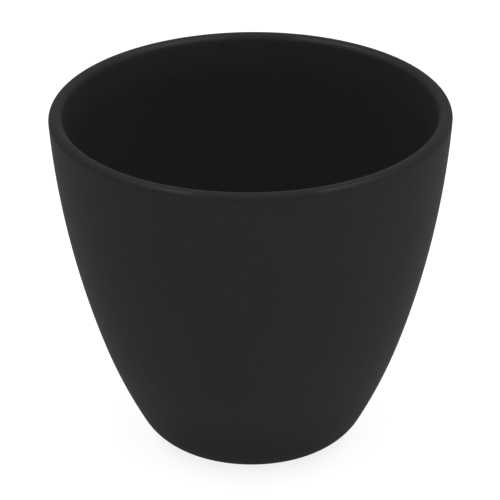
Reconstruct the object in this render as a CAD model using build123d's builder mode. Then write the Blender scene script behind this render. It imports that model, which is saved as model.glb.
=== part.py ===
from build123d import *
import os
from math import asin, cos, degrees, radians, sin, sqrt

# Empty ceramic candle jar, in millimetres.
# +Z runs up the jar's axis and the bare foot ring stands on Z = 0.
# Each outline is half of the jar's section, drawn on XZ and turned round Z.
os.makedirs("parts", exist_ok=True)

# Sizes that drive the jar
mouth_d = 100.0  # across the widest part of the lip
height = 88.0  # foot ring to top of lip
wall = 3.5  # clay and both coats together
coat = 0.4  # each glaze coat
lip_out_r = 1.8  # outer roll of the lip
lip_in_r = 1.5  # inner roll of the lip
lip_lap = 9.0  # how far the outside coat runs down inside the mouth
upper_r = 235.0  # curve of the upper wall
lower_r = 134.0  # curve of the lower wall
corner_r = 14.0  # curve from the wall into the foot
mouth_lean = 4.55  # lean of the wall under the lip, degrees from upright
change_lean = 19.2  # lean where the upper and lower wall curves meet
glaze_line_z = 0.42  # lower edge of the outside coat
foot_trim = 1.0  # depth of corner curve cut away by the flat foot
floor_z = 5.2  # inside floor above the foot ring's face
floor_corner_r = 12.0  # curve from the inside floor into the wall
ring_in_r = 15.5  # inner edge of the foot ring
ring_edge_r = 0.8  # rounding of that edge
recess_depth = 1.2  # glazed roof of the recess above the foot ring's face
recess_run = 0.9  # how far the coat in the recess runs down its side


def along(lean, distance):
    """Step outwards at right angles to a wall that leans by this many degrees."""
    return Vector(distance * cos(radians(lean)), -distance * sin(radians(lean)))


# Centres of the section's curves, from the lip down to the foot
lip_centre = Vector(mouth_d / 2 - lip_out_r, height - lip_out_r)
upper_centre = lip_centre - along(mouth_lean, upper_r - lip_out_r)
lower_centre = upper_centre + along(change_lean, upper_r - lower_r)
corner_z = corner_r - foot_trim
corner_lean = degrees(asin((lower_centre.Y - corner_z) / (lower_r - corner_r)))
corner_centre = lower_centre + along(corner_lean, lower_r - corner_r)
glaze_line_lean = degrees(asin((corner_z - glaze_line_z) / corner_r))

# The same for the inside, which keeps the wall's thickness down to its own floor curve
inner_upper_r = upper_r - wall
inner_lower_r = lower_r - wall
roll_z = height - lip_in_r
roll_lean = degrees(asin((upper_centre.Y - roll_z) / (inner_upper_r + lip_in_r)))
roll_centre = upper_centre + along(roll_lean, inner_upper_r + lip_in_r)
lap_lean = degrees(asin((upper_centre.Y - height + lip_lap) / inner_upper_r))
bowl_z = floor_z + floor_corner_r
bowl_lean = degrees(asin((lower_centre.Y - bowl_z) / (inner_lower_r - floor_corner_r)))
bowl_centre = lower_centre + along(bowl_lean, inner_lower_r - floor_corner_r)

# Underside of the clay
roof_z = recess_depth + coat
roof_r = ring_in_r - roof_z
foot_out_r = corner_centre.X + sqrt((corner_r - coat) ** 2 - corner_z**2)
foot_out_lean = degrees(asin(corner_z / (corner_r - coat)))
edge_tangent = ring_edge_r * (sqrt(2) - 1)


def arc(centre, radius, lean_from, lean_to):
    """Part of one of the section's curves, between two leans."""
    CenterArc(centre, radius, -lean_from, lean_from - lean_to)


def outer_curves(inset, lowest_lean):
    """Outside of the jar from low on the corner to the top of the lip."""
    arc(corner_centre, corner_r - inset, lowest_lean, corner_lean)
    arc(lower_centre, lower_r - inset, corner_lean, change_lean)
    arc(upper_centre, upper_r - inset, change_lean, mouth_lean)
    arc(lip_centre, lip_out_r - inset, mouth_lean, -90)


def lip_top_and_roll(inset):
    """Flat on top of the lip and the roll into the mouth."""
    top = height - inset
    Line((lip_centre.X, top), (roll_centre.X, top))
    arc(roll_centre, lip_in_r - inset, -90, roll_lean - 180)


def inner_curves(inset):
    """Inside of the jar from the lap's edge to the middle of the floor."""
    arc(upper_centre, inner_upper_r + inset, lap_lean, change_lean)
    arc(lower_centre, inner_lower_r + inset, change_lean, bowl_lean)
    arc(bowl_centre, floor_corner_r + inset, bowl_lean, 90)
    Line((bowl_centre.X, floor_z - inset), (0, floor_z - inset))


def across_coat(centre, lean, radius_from, radius_to):
    """Edge of a coat, square to the surface it lies on."""
    Line(centre + along(lean, radius_from), centre + along(lean, radius_to))


# Clay: wall, floor and foot ring in one piece
with BuildPart() as ceramic_body:
    with BuildSketch(Plane.XZ):
        with BuildLine():
            Line((0, roof_z), (roof_r, roof_z))
            cone_end = Vector(ring_in_r, 0) + Vector(-1, 1) * (edge_tangent / sqrt(2))
            Line((roof_r, roof_z), cone_end)
            CenterArc((ring_in_r + edge_tangent, ring_edge_r), ring_edge_r, 225, 45)
            Line((ring_in_r + edge_tangent, 0), (foot_out_r, 0))
            outer_curves(coat, foot_out_lean)
            lip_top_and_roll(coat)
            arc(upper_centre, inner_upper_r + coat, roll_lean, lap_lean)
            inner_curves(coat)
            Line((0, floor_z - coat), (0, roof_z))
        make_face()
    revolve(axis=Axis.Z)
ceramic_body.part.label = "ceramic_body"
export_step(ceramic_body.part, "parts/ceramic_body.step")

# Coat outside, over the lip and a little way down into the mouth
with BuildPart() as outside_glaze:
    with BuildSketch(Plane.XZ):
        with BuildLine():
            outer_curves(0, glaze_line_lean)
            lip_top_and_roll(0)
            arc(upper_centre, inner_upper_r, roll_lean, lap_lean)
            across_coat(upper_centre, lap_lean, inner_upper_r, inner_upper_r + coat)
            arc(upper_centre, inner_upper_r + coat, lap_lean, roll_lean)
            lip_top_and_roll(coat)
            outer_curves(coat, glaze_line_lean)
            across_coat(corner_centre, glaze_line_lean, corner_r - coat, corner_r)
        make_face()
    revolve(axis=Axis.Z)
outside_glaze.part.label = "outside_glaze"
export_step(outside_glaze.part, "parts/outside_glaze.step")

# Liner from the lap's edge down over the floor
with BuildPart() as inside_glaze:
    with BuildSketch(Plane.XZ):
        with BuildLine():
            inner_curves(0)
            Line((0, floor_z), (0, floor_z - coat))
            inner_curves(coat)
            across_coat(upper_centre, lap_lean, inner_upper_r + coat, inner_upper_r)
        make_face()
    revolve(axis=Axis.Z)
inside_glaze.part.label = "inside_glaze"
export_step(inside_glaze.part, "parts/inside_glaze.step")

# Coat in the recess, inside the wiped foot ring
with BuildPart() as base_glaze:
    with BuildSketch(Plane.XZ):
        with BuildLine():
            run_end = Vector(roof_r + recess_run, roof_z - recess_run)
            skin_end = run_end - Vector(1, 1) * (coat / sqrt(2))
            skin_r = roof_r - coat * (sqrt(2) - 1)
            Polyline((0, roof_z), (roof_r, roof_z), run_end, skin_end)
            Polyline(skin_end, (skin_r, recess_depth), (0, recess_depth), (0, roof_z))
        make_face()
    revolve(axis=Axis.Z)
base_glaze.part.label = "base_glaze"
export_step(base_glaze.part, "parts/base_glaze.step")
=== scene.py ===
import math
import bpy
import numpy as np
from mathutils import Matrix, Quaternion, Vector, noise


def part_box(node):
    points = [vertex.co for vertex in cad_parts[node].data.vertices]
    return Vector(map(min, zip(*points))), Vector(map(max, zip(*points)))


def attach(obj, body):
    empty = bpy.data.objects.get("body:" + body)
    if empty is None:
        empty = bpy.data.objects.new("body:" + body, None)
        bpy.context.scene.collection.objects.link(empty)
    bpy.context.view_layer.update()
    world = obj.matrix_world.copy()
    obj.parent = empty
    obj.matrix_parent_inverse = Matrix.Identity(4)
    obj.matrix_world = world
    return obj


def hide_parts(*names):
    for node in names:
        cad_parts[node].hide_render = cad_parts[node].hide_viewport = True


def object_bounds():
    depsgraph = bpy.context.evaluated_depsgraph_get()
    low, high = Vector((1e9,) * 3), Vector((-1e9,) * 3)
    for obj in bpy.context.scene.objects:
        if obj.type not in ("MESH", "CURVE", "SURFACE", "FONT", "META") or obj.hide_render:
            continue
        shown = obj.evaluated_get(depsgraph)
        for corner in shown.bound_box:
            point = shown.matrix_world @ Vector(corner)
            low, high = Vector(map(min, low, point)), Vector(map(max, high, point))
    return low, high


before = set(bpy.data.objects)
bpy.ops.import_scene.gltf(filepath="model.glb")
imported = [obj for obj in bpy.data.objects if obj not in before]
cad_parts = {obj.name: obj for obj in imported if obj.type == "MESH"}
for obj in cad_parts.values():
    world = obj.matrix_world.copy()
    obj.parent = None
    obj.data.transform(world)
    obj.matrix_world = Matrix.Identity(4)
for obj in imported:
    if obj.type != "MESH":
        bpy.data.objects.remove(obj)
cad_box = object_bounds()
MM = 0.001

# ---------------------------------------------------------------- sizes, in metres and radians
# The part's own section, but for the lip's rolls, which are turned a little rounder.
coat_low, coat_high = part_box("outside_glaze")
foot_z = cad_box[0].z
mouth_r = (coat_high.x - coat_low.x) / 2
height = coat_high.z - foot_z

COAT = 0.4 * MM
WALL = 3.5 * MM
floor_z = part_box("inside_glaze")[0].z + COAT - foot_z
LIP_OUT, LIP_IN = 1.75 * MM, 1.70 * MM            # radii of the lip's outer and inner roll
LAP = 9.0 * MM                                    # how far the outside coat runs down inside
UPPER_R, LOWER_R, CORNER_R, BOWL_R = 235 * MM, 134 * MM, 14 * MM, 12 * MM
MOUTH_LEAN, CHANGE_LEAN = math.radians(4.55), math.radians(19.2)
FOOT_TRIM = 1.0 * MM                              # what the flat foot cuts off the corner curve
ROOF_Z, ROOF_R = 1.6 * MM, 13.9 * MM              # roof of the clay's recess under the foot

# Where the glaze's edges lie, how far they wander, and the beads they end in
GLAZE_LINE, LINE_WANDER = 0.34 * MM, 0.07 * MM
RUN_DOWN, RUN_WANDER = 0.8 * MM, 0.12 * MM        # coat in the recess, down its side
LINE_BEAD, RUN_BEAD = 0.34 * MM, 0.3 * MM
BEAD_BULGE = 1.1                                  # depth of a bead over the coat's own
BEAD_BACK = 0.2 * MM                              # how far the clay side of the bead goes on
HOLLOW = 0.1 * MM                                 # fillet in the recess's corner, across
HOLLOW_DROP, HOLLOW_END = 0.12 * MM, 0.6 * MM

# Unevenness of the surface: cycles per metre, place in the noise, height in metres
SWELLS = (
    (22, (3.1, 7.7, 1.3), 0.022 * MM),
    (75, (9.2, 2.4, 5.8), 0.0025 * MM),
    (260, (4.6, 8.1, 6.2), 0.0012 * MM),
)
RIM_TILT, RIM_DIP = 0.08 * MM, 0.15 * MM
DIP_TO = (-0.866, 0.5)                            # direction in which the rim dips
SETTLE_FROM = 0.3                                 # share of the height where that begins


def away(lean, distance):
    """Step outwards, square to a wall that leans by this angle."""
    return np.array([distance * math.cos(lean), -distance * math.sin(lean)])


lip_c = np.array([mouth_r - LIP_OUT, height - LIP_OUT])
upper_c = lip_c - away(MOUTH_LEAN, UPPER_R - LIP_OUT)
lower_c = upper_c + away(CHANGE_LEAN, UPPER_R - LOWER_R)
corner_z = CORNER_R - FOOT_TRIM
corner_lean = math.asin((lower_c[1] - corner_z) / (LOWER_R - CORNER_R))
corner_c = lower_c + away(corner_lean, LOWER_R - CORNER_R)
inner_upper, inner_lower = UPPER_R - WALL, LOWER_R - WALL
roll_lean = math.asin((upper_c[1] - height + LIP_IN) / (inner_upper + LIP_IN))
roll_c = upper_c + away(roll_lean, inner_upper + LIP_IN)
lap_lean = math.asin((upper_c[1] - height + LAP) / inner_upper)
bowl_lean = math.asin((lower_c[1] - floor_z - BOWL_R) / (inner_lower - BOWL_R))
bowl_c = lower_c + away(bowl_lean, inner_lower - BOWL_R)
QUARTER = math.pi / 2


def arc(centre, radius, start, stop, steps):
    """Points along one of the section's curves; its last point is left to the next curve."""
    t = np.linspace(start, stop, steps, endpoint=False)
    return centre + radius * np.stack([np.cos(t), -np.sin(t)], 1)


def run(a, b, steps):
    """Points along a straight stretch, its last point left out."""
    t = np.linspace(0, 1, steps, endpoint=False)[:, None]
    return np.array(a) * (1 - t) + np.array(b) * t


# ---------------------------------------------------------------- meshes
def swell(p):
    """Slow unevenness of a cast and hand-dipped surface at a point, in metres."""
    return sum(high * noise.noise(p * cycles + Vector(place)) for cycles, place, high in SWELLS)


def settle(x, y, z):
    """How far the glazed rim stands out of level, fading out down the wall: it rises towards +X and
    dips a little at the back of the -X side."""
    t = min(max((z - SETTLE_FROM * height) / ((1 - SETTLE_FROM) * height), 0), 1)
    dip = max((DIP_TO[1] * y + DIP_TO[0] * x) / mouth_r, 0) ** 3
    return (RIM_TILT * x / mouth_r - RIM_DIP * dip) * t * t * (3 - 2 * t)


def skin_faces(rings):
    """Faces between neighbouring rings of vertex numbers, closed both ways round."""
    faces = []
    n = len(rings[0])
    for here, there in zip(rings, rings[1:] + rings[:1]):
        for i in range(n):
            k = (i + 1) % n
            corners = [here[i], there[i], there[k], here[k]]
            corners = [v for p, v in enumerate(corners) if v != corners[p - 1]]
            if len(corners) > 2:
                faces.append(corners)
    return faces


def lathe(name, section, segments=320):
    """Turns a section into a closed skin. section(a) gives, at azimuth a, the glaze's own surface
    and then its back against the clay, as two lists of (r, z), always of the same lengths. Points
    on the axis are shared by all azimuths."""
    turns = np.linspace(0, 2 * math.pi, segments, endpoint=False)
    verts, rings = [], []
    for j, a in enumerate(turns):
        skin, back = section(a)
        flow = np.gradient(skin, axis=0)
        flow /= np.linalg.norm(flow, axis=1)[:, None]
        c, s = math.cos(a), math.sin(a)
        column = []
        for i, (r, z) in enumerate(np.concatenate([skin, back])):
            if r < 1e-9 and j:
                column.append(rings[0][i])
                continue
            if i < len(skin):
                push = swell(Vector((r * c, r * s, z)))
                z -= flow[i, 0] * push
                r += flow[i, 1] * push * (r > 1e-9)
                z += settle(r * c, r * s, z)
            column.append(len(verts))
            verts.append((r * c, r * s, z + foot_z))
        rings.append(column)
    mesh = bpy.data.meshes.new(name)
    mesh.from_pydata(verts, [], skin_faces(rings))
    mesh.shade_smooth()
    mesh.set_sharp_from_angle(angle=math.radians(50))
    piece = bpy.data.objects.new(name, mesh)
    bpy.context.scene.collection.objects.link(piece)
    return piece


def wander(a, seed, turns=1.6):
    """A closed wandering line round the jar, between about -1 and 1."""
    p = Vector((math.cos(a) * turns, math.sin(a) * turns, seed))
    return noise.noise(p) + 0.45 * noise.noise(p * 3.7) + 0.2 * noise.noise(p * 11)


def outside_section(a):
    """Bead at the glaze line, wall, lip and the lap inside the mouth; then back along the clay."""
    edge = math.asin((corner_z - GLAZE_LINE - LINE_WANDER * wander(a, 2.5)) / CORNER_R)
    t = np.linspace(QUARTER, 0, 6, endpoint=False)
    depth = COAT * BEAD_BULGE * (1 - np.cos(t))
    lean = edge + LINE_BEAD / CORNER_R * np.sin(t)
    bead = corner_c + (CORNER_R - depth)[:, None] * np.stack([np.cos(lean), -np.sin(lean)], 1)
    skin = [
        bead,
        arc(corner_c, CORNER_R, edge, corner_lean, 14),
        arc(lower_c, LOWER_R, corner_lean, CHANGE_LEAN, 26),
        arc(upper_c, UPPER_R, CHANGE_LEAN, MOUTH_LEAN, 60),
        arc(lip_c, LIP_OUT, MOUTH_LEAN, -QUARTER, 16),
        run((lip_c[0], height), (roll_c[0], height), 2),
        arc(roll_c, LIP_IN, -QUARTER, roll_lean - math.pi, 12),
        arc(upper_c, inner_upper, roll_lean, lap_lean, 10),
        [upper_c + away(lap_lean, inner_upper)],
    ]
    low = edge + BEAD_BACK / CORNER_R
    back = [
        arc(upper_c, inner_upper + COAT, lap_lean, roll_lean, 4),
        arc(roll_c, LIP_IN - COAT, roll_lean - math.pi, -QUARTER, 6),
        arc(lip_c, LIP_OUT - COAT, -QUARTER, MOUTH_LEAN, 8),
        arc(upper_c, UPPER_R - COAT, MOUTH_LEAN, CHANGE_LEAN, 20),
        arc(lower_c, LOWER_R - COAT, CHANGE_LEAN, corner_lean, 10),
        arc(corner_c, CORNER_R - COAT, corner_lean, low, 6),
    ]
    return np.concatenate(skin), np.concatenate(back)


def inside_section(a):
    """Liner from the lap down over the floor; then back along the clay."""
    skin = [
        arc(upper_c, inner_upper, lap_lean, CHANGE_LEAN, 52),
        arc(lower_c, inner_lower, CHANGE_LEAN, bowl_lean, 22),
        arc(bowl_c, BOWL_R, bowl_lean, QUARTER, 18),
        run((bowl_c[0], floor_z), (0, floor_z), 16),
        [(0, floor_z)],
    ]
    back = [
        run((0, floor_z - COAT), (bowl_c[0], floor_z - COAT), 4),
        arc(bowl_c, BOWL_R + COAT, QUARTER, bowl_lean, 8),
        arc(lower_c, inner_lower + COAT, bowl_lean, CHANGE_LEAN, 8),
        arc(upper_c, inner_upper + COAT, CHANGE_LEAN, lap_lean, 18),
        [upper_c + away(lap_lean, inner_upper + COAT)],
    ]
    return np.concatenate(skin), np.concatenate(back)


def base_section(a):
    """Coat in the recess, out from its middle and a little down its side; then back along the clay.
    Written from the bead inwards, then turned over so that its faces look outwards."""
    down = RUN_DOWN + RUN_WANDER * wander(a, 7.5, 1.2)
    side, square = np.array([1, -1]) / math.sqrt(2), np.array([-1, -1]) / math.sqrt(2)
    end = np.array([ROOF_R + down, ROOF_Z - down])
    t = np.linspace(QUARTER, 0, 6, endpoint=False)[:, None]
    depth = COAT * (np.cos(t) * BEAD_BULGE - (BEAD_BULGE - 1))
    bead = end + side * RUN_BEAD * np.sin(t) + square * depth
    hollow = (ROOF_R - HOLLOW, ROOF_Z - COAT - HOLLOW_DROP)
    level = (ROOF_R - HOLLOW_END, ROOF_Z - COAT)
    skin = [
        bead,
        run(end + square * COAT, hollow, 4),
        run(hollow, level, 4),
        run(level, (0, ROOF_Z - COAT), 16),
        [(0, ROOF_Z - COAT)],
    ]
    back = [run((0, ROOF_Z), (ROOF_R, ROOF_Z), 4), run((ROOF_R, ROOF_Z), end, 3)]
    return np.concatenate(skin)[::-1], np.concatenate(back)[::-1]


outside = lathe("outside_coat", outside_section)
inside = lathe("inside_coat", inside_section)
base = lathe("base_coat", base_section, 160)
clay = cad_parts["ceramic_body"]
for piece, node, slot in (
    (outside, "outside_glaze", "matte_glaze"),
    (inside, "inside_glaze", "liner_glaze"),
    (base, "base_glaze", "matte_glaze"),
):
    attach(piece, "root")
    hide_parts(node)


# ---------------------------------------------------------------- materials
foot = foot_z * 1000                              # the foot and the lip's top, in millimetres
lip_top = (foot_z + height) * 1000


def new_material(name):
    """A material, its nodes, its shader and a texture space in millimetres."""
    m = bpy.data.materials.new(name)
    m.use_nodes = True
    tree = m.node_tree
    shader = tree.nodes["Principled BSDF"]
    place = tree.nodes.new("ShaderNodeTexCoord")
    mm = tree.nodes.new("ShaderNodeMapping")
    mm.inputs["Scale"].default_value = (1000, 1000, 1000)
    tree.links.new(place.outputs["Object"], mm.inputs["Vector"])
    return m, tree, shader, mm.outputs["Vector"]


def grain(tree, space, scale, detail, rough, seed):
    """Noise with `scale` cycles per millimetre, about 0.5 on average and mostly 0.3 to 0.7."""
    shift = tree.nodes.new("ShaderNodeMapping")
    shift.inputs["Location"].default_value = (seed, seed * 1.7, seed * 0.6)
    tree.links.new(space, shift.inputs["Vector"])
    n = tree.nodes.new("ShaderNodeTexNoise")
    n.inputs["Scale"].default_value = scale
    n.inputs["Detail"].default_value = detail
    n.inputs["Roughness"].default_value = rough
    tree.links.new(shift.outputs["Vector"], n.inputs["Vector"])
    return n.outputs["Fac"]


def remap(tree, value, a, b, c, d):
    """Maps a..b to c..d, held at the ends."""
    r = tree.nodes.new("ShaderNodeMapRange")
    for name, x in (("From Min", a), ("From Max", b), ("To Min", c), ("To Max", d)):
        r.inputs[name].default_value = x
    tree.links.new(value, r.inputs["Value"])
    return r.outputs["Result"]


def blend(tree, factor, one, two):
    """Mixes two colours by a pattern."""
    m = tree.nodes.new("ShaderNodeMix")
    m.data_type = "RGBA"
    tree.links.new(factor, m.inputs["Factor"])
    for socket, c in ((m.inputs["A"], one), (m.inputs["B"], two)):
        if isinstance(c, bpy.types.NodeSocket):
            tree.links.new(c, socket)
        else:
            socket.default_value = (*c, 1)
    return m.outputs["Result"]


def bump(tree, height_value, distance, under=None):
    """Bump of the given depth in metres, over another one."""
    b = tree.nodes.new("ShaderNodeBump")
    b.inputs["Distance"].default_value = distance
    tree.links.new(height_value, b.inputs["Height"])
    if under is not None:
        tree.links.new(under, b.inputs["Normal"])
    return b.outputs["Normal"]


def math_node(tree, operation, *values):
    """One Math node; a value is a number or another node's output."""
    n = tree.nodes.new("ShaderNodeMath")
    n.operation = operation
    for socket, v in zip(n.inputs, values):
        if isinstance(v, bpy.types.NodeSocket):
            tree.links.new(v, socket)
        else:
            socket.default_value = v
    return n.outputs["Value"]


def position(tree, space):
    """x, y and z in the texture space, and the distance from the jar's axis."""
    split = tree.nodes.new("ShaderNodeSeparateXYZ")
    tree.links.new(space, split.inputs["Vector"])
    x, y, z = split.outputs
    xx, yy = math_node(tree, "MULTIPLY", x, x), math_node(tree, "MULTIPLY", y, y)
    return x, y, z, math_node(tree, "SQRT", math_node(tree, "ADD", xx, yy))


def lip_gloss(tree, space):
    """Where the glaze is glossier: four stretches of the lip's two rolls, just under its top."""
    x, y, z, radius = position(tree, space)
    # the band they lie in, in millimetres under the lip's top
    under = remap(tree, z, lip_top - 1.25, lip_top - 0.95, 0.0, 1.0)
    over = remap(tree, z, lip_top - 0.28, lip_top - 0.14, 1.0, 0.0)
    band = math_node(tree, "MULTIPLY", under, over)
    # going round, each stretch starts nearer the middle at the back, and ends nearer it in front
    right = math_node(tree, "DIVIDE", x, radius)          # -1 at the jar's left, 1 at its right
    far = math_node(tree, "DIVIDE", y, radius)            # -1 at the front, 1 at the back
    middle = math_node(tree, "MULTIPLY_ADD", far, 0.0175, 0.0375)
    off_middle = math_node(tree, "ABSOLUTE", math_node(tree, "SUBTRACT", right, middle))
    from_gap = math_node(tree, "MULTIPLY_ADD", far, 0.0575, off_middle)
    from_end = math_node(tree, "MULTIPLY_ADD", far, -0.07, off_middle)
    start = remap(tree, from_gap, 0.225, 0.275, 0.0, 1.0)
    end = remap(tree, from_end, 0.45, 0.77, 1.0, 0.0)
    return math_node(tree, "MULTIPLY", band, math_node(tree, "MULTIPLY", start, end))


def painted_lip_shade(tree, space):
    """1 where painted shade darkens the glaze most, outside under the turn of the lip; less on its
    top.
    """
    _, _, z, radius = position(tree, space)
    rise = remap(tree, z, lip_top - 1.9, lip_top - 1.15, 0.0, 1.0)
    fall = remap(tree, z, lip_top - 0.85, lip_top - 0.45, 1.0, 0.5)
    outer = remap(tree, radius, 47.6, 48.6, 0.0, 1.0)
    return math_node(tree, "MULTIPLY", outer, math_node(tree, "MULTIPLY", rise, fall))


def fade_up(tree, space, full, none, most):
    """A pattern that is `most` up to one height above the foot and 0 above another."""
    z = position(tree, space)[2]
    return remap(tree, z, foot + full, foot + none, most, 0.0)


def times(colour, share):
    """A colour made darker or lighter."""
    return tuple(x * share for x in colour)


def grey(value):
    """A grey, as a colour."""
    return (value,) * 3


def glaze(name, dark, light, seed, painted_foot_shade_and_roughness=False, painted_light_in_depths=False):
    """Matte black glaze: eggshell skin, very fine grain, faint cloudiness and a few pinholes. It
    can be rougher and darker towards the foot, the darkening being painted shade, or a little paler
    deep in the cup, the lightening being painted light."""
    m, tree, shader, space = new_material(name)

    cloud = grain(tree, space, 0.07, 3.0, 0.55, seed)
    tone = blend(tree, remap(tree, cloud, 0.35, 0.65, 0.0, 1.0), dark, light)
    speck = grain(tree, space, 2.2, 1.0, 0.5, seed + 5)
    tone = blend(tree, remap(tree, speck, 0.70, 0.78, 0.0, 0.6), tone, times(light, 1.8))
    # painted shade: a darker band outside under the turn of the lip, and less of it on the lip's
    # top
    tone = blend(tree, painted_lip_shade(tree, space), tone, times(dark, 0.80))
    pinhole = grain(tree, space, 1.1, 0.0, 0.5, seed + 31)
    tone = blend(tree, remap(tree, pinhole, 0.20, 0.28, 0.8, 0.0), tone, times(dark, 0.75))
    # painted light: the liner is made paler deep in the cup, fading out by 76 mm above the foot
    if painted_light_in_depths:
        tone = blend(tree, fade_up(tree, space, 42, 76, 1.0), tone, times(dark, 1.35))
    # painted shade: the glaze is darkened over the last 20 mm above the foot, most at its edge;
    # below it is also made rougher
    if painted_foot_shade_and_roughness:
        edge, wall = fade_up(tree, space, 0.5, 5, 0.4), fade_up(tree, space, 3, 20, 0.5)
        tone = blend(tree, math_node(tree, "ADD", edge, wall), tone, times(dark, 0.5))
    tree.links.new(tone, shader.inputs["Base Color"])

    sheen = grain(tree, space, 0.16, 4.0, 0.6, seed + 11)
    rough = blend(tree, remap(tree, sheen, 0.35, 0.65, 0.0, 1.0), grey(0.79), grey(0.81))
    rough = blend(tree, lip_gloss(tree, space), rough, grey(0.31))
    if painted_foot_shade_and_roughness:
        rough = blend(tree, math_node(tree, "ADD", edge, wall), rough, grey(1.0))
    tree.links.new(rough, shader.inputs["Roughness"])

    skin = bump(tree, grain(tree, space, 0.55, 2.0, 0.5, seed + 17), 0.010 * MM)
    skin = bump(tree, grain(tree, space, 1.9, 2.0, 0.6, seed + 23), 0.006 * MM, skin)
    skin = bump(tree, remap(tree, pinhole, 0.18, 0.28, 0.0, 1.0), 0.03 * MM, skin)
    tree.links.new(skin, shader.inputs["Normal"])
    shader.inputs["Specular IOR Level"].default_value = 0.1
    return m


def bare_clay(name):
    """Unglazed stoneware: buff, sandy, with darker grog and a rubbed face."""
    m, tree, shader, space = new_material(name)
    cloud = grain(tree, space, 0.22, 3.0, 0.6, 2.0)
    brown, buff = (0.40, 0.31, 0.22), (0.52, 0.43, 0.33)
    tone = blend(tree, remap(tree, cloud, 0.3, 0.7, 0.0, 1.0), brown, buff)
    grog = grain(tree, space, 3.2, 2.0, 0.55, 9.0)
    tone = blend(tree, remap(tree, grog, 0.60, 0.68, 0.0, 0.75), tone, (0.20, 0.13, 0.085))
    pale = grain(tree, space, 2.1, 2.0, 0.5, 21.0)
    tone = blend(tree, remap(tree, pale, 0.64, 0.72, 0.0, 0.6), tone, (0.68, 0.61, 0.51))
    tree.links.new(tone, shader.inputs["Base Color"])
    tree.links.new(remap(tree, cloud, 0.3, 0.7, 0.82, 0.95), shader.inputs["Roughness"])
    sand = bump(tree, grain(tree, space, 4.0, 3.0, 0.65, 4.0), 0.05 * MM)
    sand = bump(tree, grain(tree, space, 0.9, 2.0, 0.5, 14.0), 0.05 * MM, sand)
    tree.links.new(sand, shader.inputs["Normal"])
    shader.inputs["Specular IOR Level"].default_value = 0.3
    return m


matte = glaze("matte_black_glaze", grey(0.0109), grey(0.0116), 0.0, painted_foot_shade_and_roughness=True)
liner = glaze("liner_glaze", grey(0.0102), grey(0.0108), 40.0, painted_light_in_depths=True)
for piece, material in ((outside, matte), (inside, liner), (base, matte)):
    piece.data.materials.append(material)
biscuit = bare_clay("bare_clay")
for slot in clay.material_slots:
    slot.material = biscuit

# ---------------------------------------------------------------- camera
AIM_ACROSS, AIM_UP = -0.31 * MM, 49.55 * MM       # from the jar's axis, and from its foot
ELEVATION, ROLL, DISTANCE = math.radians(25.88), math.radians(-0.351), 1.25
LENS, SENSOR = 359.4, 36

centre = (cad_box[0] + cad_box[1]) / 2
aim = Vector((centre.x + AIM_ACROSS, centre.y, foot_z + AIM_UP))
back = Vector((0, -math.cos(ELEVATION), math.sin(ELEVATION)))
facing, roll = (-back).to_track_quat("-Z", "Y"), Quaternion((0, 0, 1), ROLL)
camera = bpy.data.objects.new("camera", bpy.data.cameras.new("camera"))
bpy.context.scene.collection.objects.link(camera)
camera.location = aim + back * DISTANCE
camera.rotation_mode = "QUATERNION"
camera.rotation_quaternion = facing @ roll
camera.data.sensor_width, camera.data.lens = SENSOR, LENS
camera.data.clip_start, camera.data.clip_end = 0.05, 20
bpy.context.scene.camera = camera


# ---------------------------------------------------------------- stage and light
def pale_floor():
    """White acrylic lit from below, like a light table: the jar's shadow all but vanishes in it."""
    m = bpy.data.materials.new("pale_floor")
    m.use_nodes = True
    shader = m.node_tree.nodes["Principled BSDF"]
    shader.inputs["Base Color"].default_value = (0.20, 0.20, 0.20, 1)
    shader.inputs["Roughness"].default_value = 0.9
    shader.inputs["Specular IOR Level"].default_value = 0.0
    shader.inputs["Emission Color"].default_value = (1, 1, 1, 1)
    shader.inputs["Emission Strength"].default_value = 0.82
    return m


FLOOR_HALF = 5.0
FLOOR_DROP = 0.02 * MM                            # keeps it clear of the foot ring's own face
signs = ((-1, -1), (1, -1), (1, 1), (-1, 1))
corners = [(x * FLOOR_HALF, y * FLOOR_HALF, foot_z - FLOOR_DROP) for x, y in signs]
mesh = bpy.data.meshes.new("floor")
mesh.from_pydata(corners, [], [(0, 1, 2, 3)])
floor = bpy.data.objects.new("floor", mesh)
bpy.context.scene.collection.objects.link(floor)
floor.data.materials.append(pale_floor())


def softbox(name, azimuth, elevation, distance, width, tall, radiance):
    """Area light facing the jar. Azimuth 0 is the camera's side and 90 is its right."""
    data = bpy.data.lights.new(name, "AREA")
    data.shape = "RECTANGLE"
    data.size, data.size_y = width, tall
    data.energy = 4 * radiance * width * tall         # a rectangle's radiance is energy / (4 area)
    light = bpy.data.objects.new(name, data)
    a, e = math.radians(azimuth), math.radians(elevation)
    out = Vector((math.sin(a) * math.cos(e), -math.cos(a) * math.cos(e), math.sin(e)))
    light.location = centre + out * distance
    light.rotation_mode = "QUATERNION"
    light.rotation_quaternion = (-out).to_track_quat("-Z", "Y")
    bpy.context.scene.collection.objects.link(light)


for box in (
    # name, azimuth, elevation, distance, width, height, radiance
    ("strip_left", -83, 59.5, 1.5, 1.5, 0.28, 4.2),
    ("strip_right", 83, 59.5, 1.5, 1.5, 0.28, 4.5),
    ("top", 0, 90, 1.5, 0.9, 0.9, 1.2),
    ("right", 60, 5, 1.2, 1.4, 0.18, 2.6),
    ("front", 0, 5, 1.2, 1.2, 0.18, 1.4),
):
    softbox(*box)

world = bpy.data.worlds.new("studio")
world.use_nodes = True
sky = world.node_tree.nodes["Background"]
sky.inputs["Color"].default_value = (1, 1, 1, 1)
sky.inputs["Strength"].default_value = 1.1
bpy.context.scene.world = world
bpy.context.scene.view_settings.view_transform = "Standard"
